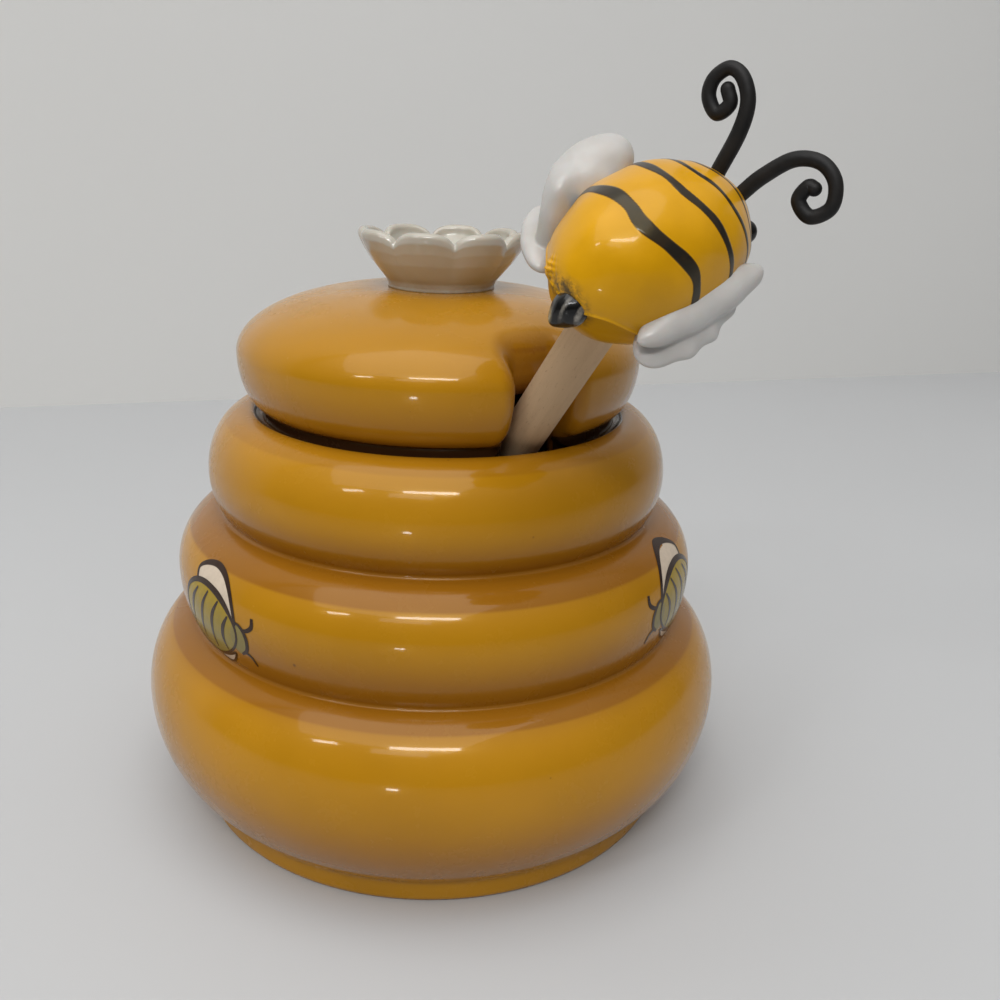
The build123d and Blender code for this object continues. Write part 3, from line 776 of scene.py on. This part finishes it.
def make_bee_body():
    around, along = 420, 300
    th = np.arange(around) * 2 * math.pi / around
    P, T = np.meshgrid(np.linspace(0, math.pi, along), th, indexing="ij")
    ball = np.stack([np.cos(P), np.sin(P) * np.cos(T), np.sin(P) * np.sin(T)], -1)
    loc = ball.reshape(-1, 3) * BEE_AX
    stripe = stripe_paint(loc)
    crease = -2.3 + 1.5 * np.exp(-((loc[:, 1] - 6.6) / 3.2) ** 2) - 0.02 * (loc[:, 0] + 18) ** 2
    # the belly below the seam: painted shade in the paint, and a small undercut in the relief
    shaded_belly = smoothstep(0.25, -0.15, loc[:, 2] - crease) * smoothstep(2.0, -8.0, loc[:, 0])
    skin = loc + unit_rows(loc / BEE_AX ** 2) * bee_relief(loc, stripe, shaded_belly, crease)[:, None]
    from_tail = np.linalg.norm(loc - np.array([-18.9, 0.0, -3.0]), axis=1)
    ob = new_mesh("bee_body_painted", bee_point(*skin.T), grid_faces(along, around))
    add_float(ob, "stripe", stripe)
    add_float(ob, "shaded_belly", shaded_belly)
    add_float(ob, "soot", smoothstep(5.4, 3.4, from_tail))
    add_float(ob, "rust", smoothstep(15.0, 16.3, loc[:, 0]) * 0.95)
    face_outwards(ob, weld=1e-7)
    ob.data.materials.append(bee_paint())
    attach(ob, "dipper")
    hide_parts("bee_body")
    return ob


def bee_local(p):
    d = p - BEE
    return np.stack([d @ BEE_AHEAD, d @ BEE_SIDE, d @ BEE_UP], -1)


def lobe_field(q, center, half, long_dir, out_dir):
    """near enough the distance to an ellipsoid in the bee's frame"""
    l = unit(long_dir)
    o = unit(np.array(out_dir, float) - l * (np.array(out_dir, float) @ l))
    axes = np.stack([l, o, np.cross(l, o)])
    s = (q - np.array(center)) @ axes.T
    k0 = np.linalg.norm(s / half, axis=1)
    k1 = np.linalg.norm(s / np.array(half) ** 2, axis=1)
    return k0 * (k0 - 1) / np.maximum(k1, 1e-6)


def make_wing(name, node, lobes, blends, dents=(), stain=None):
    def field(p):
        q = bee_local(p)
        f = lobe_field(q, *lobes[0])
        for args, blend in zip(lobes[1:], blends):
            f = round_min(f, lobe_field(q, *args), blend)
        for c, size, depth in dents:
            f = f + depth * np.exp(-(((q - np.array(c)) / size) ** 2).sum(1))
        x, y, z = q.T
        return f + 0.07 * np.sin(x * 0.9 + 0.7) * np.sin(y * 0.8) + 0.05 * np.sin(z * 1.3 + x * 0.6)

    mid = np.array([bee_point(*lb[0])[0] for lb in lobes])
    reach = max(max(lb[1]) for lb in lobes) + 1.5
    ob, co = field_mesh(name, field, mid.min(0) - reach, mid.max(0) + reach, 0.34)
    st = np.zeros(len(co))
    if stain:
        st = np.exp(-(np.linalg.norm(co - bee_point(*stain[0])[0], axis=1) / stain[1]) ** 2)
    add_float(ob, "stain", st)
    ob.data.materials.append(WHITE_PAINT)
    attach(ob, "dipper")
    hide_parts(node)
    return ob


def tube(name, path, radii, sides=20):
    """round tube along a path with rounded ends"""
    p, rad = np.array(path, float), np.array(radii, float)
    t = unit_rows(np.gradient(p, axis=0))
    ang = np.arange(sides) * 2 * math.pi / sides
    nrm = unit(np.cross(t[0], [0.3, 0.2, 0.9]))
    frames = []
    for tangent in t:
        nrm = unit(nrm - tangent * (nrm @ tangent))
        frames.append((nrm.copy(), np.cross(tangent, nrm)))

    def circle(centre, radius, frame_at):
        return [centre + radius * (frame_at[0] * math.cos(b) + frame_at[1] * math.sin(b)) for b in ang]

    def end_cap(i, way, angles):
        centres = [p[i] + way * t[i] * rad[i] * math.cos(a) for a in angles]
        return [circle(c, rad[i] * max(math.sin(a), 0.02), frames[i]) for c, a in zip(centres, angles)]

    rings = end_cap(0, -1, quarter(6)[:-1])
    rings += [circle(c, r, f) for c, r, f in zip(p, rad, frames)]
    rings += end_cap(-1, 1, quarter(6)[::-1][1:])
    faces = grid_faces(len(rings), sides)
    faces.append(tuple(range(sides))[::-1])
    faces.append(tuple(range((len(rings) - 1) * sides, len(rings) * sides)))
    ob = new_mesh(name, [v for ring in rings for v in ring], faces)
    face_outwards(ob)
    return ob


def make_stinger():
    lobes = [((-18.0, 1.0, -2.9), (3.0, 2.7, 2.8), (1, 0, 0.15), (0, 1, 0)),
             ((-19.2, 0.4, -4.3), (2.1, 1.6, 1.5), (1.0, 0.1, 0.55), (0, 1, 0))]

    def field(p):
        q = bee_local(p)
        f = round_min(lobe_field(q, *lobes[0]), lobe_field(q, *lobes[1]), 1.0)
        # a chip near the tip and brush-thick ridges
        f = f + 0.55 * np.exp(-(np.linalg.norm(q - np.array([-20.6, -0.8, -4.4]), axis=1) / 1.1) ** 2)
        return f + 0.06 * np.sin(q[:, 1] * 2.6 + q[:, 2] * 1.4) * np.sin(q[:, 0] * 1.9)

    mid = bee_point(-18.8, 0.2, -3.4)[0]
    ob, co = field_mesh("bee_stinger_painted", field, mid - 5.5, mid + 5.5, 0.2)
    q = bee_local(co)
    chip = smoothstep(1.7, 0.7, np.linalg.norm(q - np.array([-20.4, -0.6, -4.9]), axis=1))
    streak = smoothstep(0.5, 0.9, np.sin(q[:, 1] * 3.1 + 0.9 * q[:, 2])) * smoothstep(-0.2, 1.6, q[:, 1])
    streak = streak * smoothstep(-4.5, -2.0, q[:, 2])
    add_float(ob, "chip", chip)
    add_float(ob, "streak", streak)
    m = Mat("stinger_paint")
    grain = m.ramp(m.noise(900, 3, 0.6), [(0.35, 0.3), (0.62, 1.0)])
    tone = m.ramp(m.noise(300, 4, 0.6), [(0.35, 0.0), (0.7, 1.0)])
    col = m.mix(tone, (0.004, 0.004, 0.004), (0.010, 0.009, 0.007))
    brushed = m.math("MULTIPLY", m.attr("streak"), grain)
    col = m.mix(m.math("MULTIPLY", brushed, 0.80), col, (0.38, 0.35, 0.30))
    col = m.mix(m.math("MULTIPLY", m.attr("chip"), 0.9), col, (0.33, 0.26, 0.13))
    m.set(Base_Color=col, Normal=m.bump(m.noise(420, 3, 0.6), 0.18, 0.0004))
    m.set(Roughness=0.20, Specular_IOR_Level=0.35, Coat_Weight=0.2, Coat_Roughness=0.1)
    ob.data.materials.append(m.m)
    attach(ob, "dipper")
    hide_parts("bee_stinger")
    return ob


# =====================================================================================
# the two small printed bees on the middle ring
# =====================================================================================
def on_ring(px, pz, lift):
    """points on the pot's outside: px millimetres round the middle ring from the front, at height pz"""
    az = np.asarray(px, float) / RINGS[1][0]
    z = np.asarray(pz, float)
    r = np.array([hive_r(v) for v in z.ravel()]).reshape(z.shape)
    e = 0.05
    slope = np.array([(hive_r(v + e) - hive_r(v - e)) / (2 * e) for v in z.ravel()]).reshape(z.shape)
    k = 1 / np.sqrt(1 + slope ** 2)
    r, z = r + lift * k, z - lift * slope * k
    return np.stack([r * np.sin(az), -r * np.cos(az), z], -1)


class Print:
    """collects flat shapes drawn in the little bee's own frame and lays them on the ring"""

    def __init__(self, centre, tilt, mirror):
        self.c, self.m = np.array(centre, float), -1 if mirror else 1
        self.t = math.radians(tilt)
        self.parts = {}

    def place(self, p, lift):
        p = np.asarray(p, float)
        x = p[..., 0] * math.cos(self.t) - p[..., 1] * math.sin(self.t)
        y = p[..., 0] * math.sin(self.t) + p[..., 1] * math.cos(self.t)
        return on_ring(self.c[0] + self.m * x, self.c[1] + y, lift)

    def add(self, ink, verts, faces, shade=None):
        v, f, s = self.parts.setdefault(ink, ([], [], []))
        base = len(v)
        v.extend(verts.reshape(-1, 3))
        step = -1 if self.m < 0 else 1
        f.extend(tuple(base + i for i in face)[::step] for face in faces)
        s.extend(np.zeros(len(verts.reshape(-1, 3))) if shade is None else shade)

    def fill(self, ink, outline, lift, rings=7):
        o = np.array(outline, float)
        c = o.mean(0)
        k = np.linspace(0.02, 1, rings)
        grid = c + (o - c)[None] * k[:, None, None]
        n = len(o)
        shade = smoothstep(-6, 6, grid[..., 1]).ravel()
        faces = grid_faces(rings, n) + [tuple(range(n))[::-1]]
        self.add(ink, self.place(grid, lift), faces, shade)

    def line(self, ink, path, width, lift):
        p = spline_through(path, 10)
        w = np.interp(np.linspace(0, 1, len(p)), np.linspace(0, 1, len(width)), width)
        t = unit_rows(np.gradient(p, axis=0))
        side = np.stack([-t[:, 1], t[:, 0]], 1)
        across = np.linspace(-0.5, 0.5, 4)
        grid = p[:, None] + across[None, :, None] * (w[:, None] * side)[:, None]
        self.add(ink, self.place(grid, lift), [f[::-1] for f in grid_faces(len(p), 4, wrap_cols=False)])


def little_bee(tag, centre, tilt, mirror):
    pr = Print(centre, tilt, mirror)
    a = np.linspace(0, 2 * math.pi, 90, endpoint=False)
    body = np.stack([9.9 * np.cos(a) - 1.0, (6.8 - 0.9 * np.cos(a)) * np.sin(a) - 0.1], 1)
    head = np.stack([9.4 + 2.3 * np.cos(a), -0.9 + 3.1 * np.sin(a)], 1)
    wing = [(-5.2, 6.6), (-5.9, 8.5), (-3.6, 9.8), (0.2, 10.2), (3.9, 9.2), (6.6, 7.1), (8.2, 4.4),
            (8.7, 1.8), (6.6, 4.4), (3.8, 6.1), (0.4, 6.9), (-2.6, 7.0), (-5.2, 6.6)]
    wing = spline_through(wing, 8)[:-1]
    foot = [(0.4, -6.7), (2.6, -7.6), (5.4, -7.0), (7.4, -4.6), (5.0, -5.6), (2.6, -6.4), (0.4, -6.7)]
    foot = spline_through(foot, 8)[:-1]
    pr.fill("yellow", body, 0.030)
    pr.fill("grey", head, 0.034)
    pr.fill("white", wing, 0.036, rings=4)
    pr.fill("white", foot, 0.036, rings=4)
    for top, mid, low in (((-4.4, 5.2), (-7.4, 0.9), (-8.4, -3.2)), ((-0.2, 5.6), (-3.2, -0.2), (-4.2, -5.4)),
                          ((3.6, 4.8), (0.8, -0.4), (0.6, -5.6)), ((6.7, 2.8), (4.4, -1.5), (5.0, -4.7))):
        bend = [(top[0] * 0.45 + mid[0] * 0.55 - 0.4, top[1] * 0.45 + mid[1] * 0.55),
                (low[0] * 0.5 + mid[0] * 0.5 - 0.3, low[1] * 0.5 + mid[1] * 0.5)]
        pr.line("dark", [top, bend[0], mid, bend[1], low], (0.45, 1.0, 1.0, 0.7, 0.3), 0.060)
    ring = np.vstack([body, body[:3]])
    pr.line("dark", ring[::3], (0.6, 0.85, 1.05, 1.0, 0.6, 0.4, 0.45, 0.55, 0.6), 0.066)
    pr.line("dark", np.vstack([wing, wing[:3]])[::3], (0.7, 0.9, 1.0, 0.9, 0.6, 0.5, 0.7), 0.070)
    pr.line("dark", np.vstack([foot, foot[:3]])[::3], (0.5, 0.55, 0.5), 0.070)
    pr.line("dark", [(8.4, 2.4), (10.2, 1.9), (11.3, 0.6), (11.7, -1.0), (11.2, -2.8), (9.6, -4.0)],
            (0.4, 0.8, 0.95, 0.85, 0.5), 0.072)
    pr.line("dark", [(10.8, 1.2), (12.2, 1.6), (13.4, 2.6), (13.5, 4.2)], (0.6, 0.8, 0.9, 0.7), 0.074)
    pr.line("dark", [(10.9, -3.2), (12.3, -4.0), (13.2, -5.6)], (0.7, 0.6, 0.45), 0.074)
    pr.line("dark", [(2.6, -7.4), (3.3, -8.2)], (0.8, 0.5), 0.074)
    inks = {"yellow": (YELLOW_INK, "bee_paint"), "grey": (GREY_INK, "bee_paint"),
            "white": (WHITE_INK, "white_paint"), "dark": (DARK_INK, "black_paint")}
    for ink, (v, f, s) in pr.parts.items():
        ob = new_mesh("decal_" + tag + "_" + ink, v, f)
        add_float(ob, "shade", s)
        ob.data.materials.append(inks[ink][0])
        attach(ob, "pot")


# camera: place and directions of the photographed view
CAM = np.array([0.0, -211.83, 136.79])
FOCAL = 1050.0
PSI, PHI, RHO = 0.0623, 0.3378, 0.0350
FWD = np.array([math.sin(PSI) * math.cos(PHI), math.cos(PSI) * math.cos(PHI), -math.sin(PHI)])
LEVEL_RIGHT = np.array([math.cos(PSI), -math.sin(PSI), 0])
LEVEL_UP = np.cross(LEVEL_RIGHT, FWD)
RIGHT = math.cos(RHO) * LEVEL_RIGHT + math.sin(RHO) * LEVEL_UP
UP = -math.sin(RHO) * LEVEL_RIGHT + math.cos(RHO) * LEVEL_UP

ANT_D = BEE_AHEAD * math.cos(math.radians(72.3)) + BEE_UP * math.sin(math.radians(72.3))
# curls, as points (rise, side) from each root
ANT_LEFT = [(-2.2, 2.35), (-0.4, 2.9), (5.5, 4.2), (9.4, 6.1), (11.4, 9.1), (11.1, 11.6), (8.5, 12.5),
            (6.2, 11.4), (5.3, 8.8), (7.5, 8.1), (8.8, 9.8)]
ANT_RIGHT = [(-2.0, 2.1), (0.2, 2.3), (3.5, 3.0), (8.0, 4.9), (10.2, 8.2), (9.6, 11.7), (6.7, 13.8),
             (3.8, 12.4), (4.3, 9.5), (6.6, 9.2), (7.0, 10.1)]


def make_antenna(name, node, side, pts):
    root = bee_point(13.57, 0, 10.13)[0]
    line = spline_through([root + ANT_D * s + side * BEE_SIDE * q for s, q in pts], 14)
    k = np.linspace(0, 1, len(line))
    rad = 1.16 + 0.10 * np.sin(k * 9) * (1 - k) - 0.06 * k
    ob = tube(name, line, rad)
    ob.data.materials.append(black_paint(name + "_rubber", 0.55))
    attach(ob, "dipper")
    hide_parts(node)
    return ob


# =====================================================================================
# build it all
# =====================================================================================
make_pot()
make_lid()
make_knob()
nodes["dipper"].data.materials.clear()
nodes["dipper"].data.materials.append(wood())
make_bee_body()
WHITE_PAINT = white_paint()
make_wing("bee_wing_right_lobes", "bee_wing_right", [
    ((-2.6, 11.8, 2.0), (12.6, 3.2, 2.6), (1.0, 0.07, 0.29), (0, 1, -0.09)),
    ((-4.8, 12.3, -1.0), (9.5, 4.8, 2.0), (1.0, 0.04, 0.40), (0, 1, -0.12)),
], [0.35], dents=[
    ((-0.2, 16.4, 0.2), 1.9, 1.1),
    ((-4.6, 17.2, -1.4), 1.7, 0.8),
    ((-9.0, 16.2, -3.9), 1.8, 0.6),
])
make_wing("bee_wing_left_lobes", "bee_wing_left", [
    ((1.0, -15.7, 2.0), (7.9, 4.9, 3.4), (1.0, 0.0, 0.55), (0, -1, 0)),
    ((-6.0, -12.6, -4.0), (8.0, 2.6, 4.0), (0, 0.4, -1.0), (0, -1, -0.4)),
    ((-4.2, -14.3, -8.5), (10.4, 4.2, 2.1), (1.0, -0.66, -0.18), (0, -1, -0.13)),
], [3.2, 0.5], stain=((-8.0, -13.8, -4.0), 2.0))
make_antenna("bee_antenna_left_curl", "bee_antenna_left", -1, ANT_LEFT)
make_antenna("bee_antenna_right_curl", "bee_antenna_right", 1, ANT_RIGHT)
make_stinger()
DARK_INK = decal_ink("decal_dark", (0.030, 0.014, 0.010), (0.040, 0.018, 0.012))
YELLOW_INK = decal_ink("decal_yellow", (0.25, 0.20, 0.045), (0.38, 0.25, 0.006))
GREY_INK = decal_ink("decal_grey", (0.22, 0.175, 0.055), (0.27, 0.22, 0.07))
WHITE_INK = decal_ink("decal_white", (0.60, 0.49, 0.38), (0.66, 0.55, 0.43))
little_bee("left", (-48.4, 49.6), 2, False)
little_bee("right", (58.0, 51.6), 2, True)
for nm in ("bee_eye_left", "bee_eye_right"):
    nodes[nm].data.materials.clear()
    nodes[nm].data.materials.append(black_paint(nm + "_paint", 0.3))

# =====================================================================================
# stage, light and camera
# =====================================================================================
def plane(name, corners, mat):
    ob = new_mesh(name, corners, [(0, 1, 2, 3)], smooth=False)
    ob.data.materials.append(mat)
    return ob


def stage_mat(name, a, b, scale, front=None):
    m = Mat(name)
    col = m.mix(m.ramp(m.noise(scale, 2, 0.5), [(0.3, 0.0), (0.7, 1.0)]), a, b)
    if front:
        # the paper's near end lies in the camera's own shade
        col = m.mix(m.fade("Y", *front, 0.60, 0.0), col, (0.10, 0.10, 0.105))
    m.set(Base_Color=col)
    m.set(Roughness=0.75, Specular_IOR_Level=0.25)
    return m.m


FOLD_A, FOLD_B = np.array([-216.0, 303.0]), np.array([363.0, 441.0])
along = unit(FOLD_B - FOLD_A)
fa, fb = FOLD_A - along * 1800, FOLD_B + along * 1800
back = np.array([-along[1], along[0]])
ga, gb = fa - back * 3000, fb - back * 3000
plane("floor", [(ga[0], ga[1], 0), (gb[0], gb[1], 0), (fb[0], fb[1], 0), (fa[0], fa[1], 0)],
      stage_mat("floor_paper", (0.515, 0.52, 0.525), (0.54, 0.545, 0.55), 3, front=(-0.36, -0.08)))
plane("backdrop", [(fa[0], fa[1], 0), (fb[0], fb[1], 0), (fb[0], fb[1], 1600), (fa[0], fa[1], 1600)],
      stage_mat("backdrop_paper", (0.74, 0.735, 0.715), (0.78, 0.775, 0.755), 2))


def area(name, az, el, dist, w, h, power, color=(1, 1, 1), roll=0.0, target=(0, 0, 0.06)):
    d = bpy.data.lights.new(name, "AREA")
    d.shape = "RECTANGLE"
    d.size, d.size_y, d.energy, d.color = w, h, power, color
    ob = bpy.data.objects.new(name, d)
    bpy.context.scene.collection.objects.link(ob)
    a, e = math.radians(az), math.radians(el)
    v = Vector((math.sin(a) * math.cos(e), -math.cos(a) * math.cos(e), math.sin(e)))
    ob.location = Vector(target) + v * dist
    q = (-v).to_track_quat("-Z", "Y")
    ob.rotation_mode = "QUATERNION"
    ob.rotation_quaternion = q @ Matrix.Rotation(math.radians(roll), 3, "Z").to_quaternion()
    return ob


area("strip_front", -4, 43, 1.2, 0.48, 0.09, 3.2)
area("strip_left", -45, 34, 1.2, 0.18, 0.06, 0.8, roll=28)
area("glint_low", -13, -9, 0.32, 0.02, 0.010, 0.02)
area("haze_front", -14, 36, 1.2, 0.40, 0.14, 0.45)
area("soft_top", -26, 70, 1.3, 1.4, 1.4, 10.2)

SKY = [(0.0, 0.06), (0.25, 0.13), (0.55, 0.36), (0.8, 0.85), (1.0, 1.25)]
SENSOR, FRAME = 36, 1000           # sensor width in millimetres, and the photograph's width in pixels


def make_world():
    """even studio light that brightens upwards"""
    world = bpy.data.worlds.new("studio")
    bpy.context.scene.world = world
    world.use_nodes = True
    tree = world.node_tree
    background = tree.nodes["Background"]
    place = tree.nodes.new("ShaderNodeTexCoord")
    parts = tree.nodes.new("ShaderNodeSeparateXYZ")
    tree.links.new(place.outputs["Generated"], parts.inputs[0])
    ramp = tree.nodes.new("ShaderNodeValToRGB")
    tree.links.new(parts.outputs["Z"], ramp.inputs["Fac"])
    stops = ramp.color_ramp.elements
    while len(stops) < len(SKY):
        stops.new(0.5)
    for stop, (at, v) in zip(stops, SKY):
        stop.position = at
        stop.color = (v, v, v, 1)
    tree.links.new(ramp.outputs["Color"], background.inputs["Color"])
    background.inputs["Strength"].default_value = 0.70


def make_camera():
    data = bpy.data.cameras.new("camera")
    camera = bpy.data.objects.new("camera", data)
    bpy.context.scene.collection.objects.link(camera)
    data.lens = FOCAL * SENSOR / FRAME
    data.sensor_width = SENSOR
    data.clip_start = 0.01
    data.clip_end = 20
    place = Matrix.Identity(4)
    for i in range(3):
        place[i] = (RIGHT[i], UP[i], -FWD[i], CAM[i] * MM)
    camera.matrix_world = place
    bpy.context.scene.camera = camera


make_world()
make_camera()
bpy.context.scene.view_settings.view_transform = "Standard"
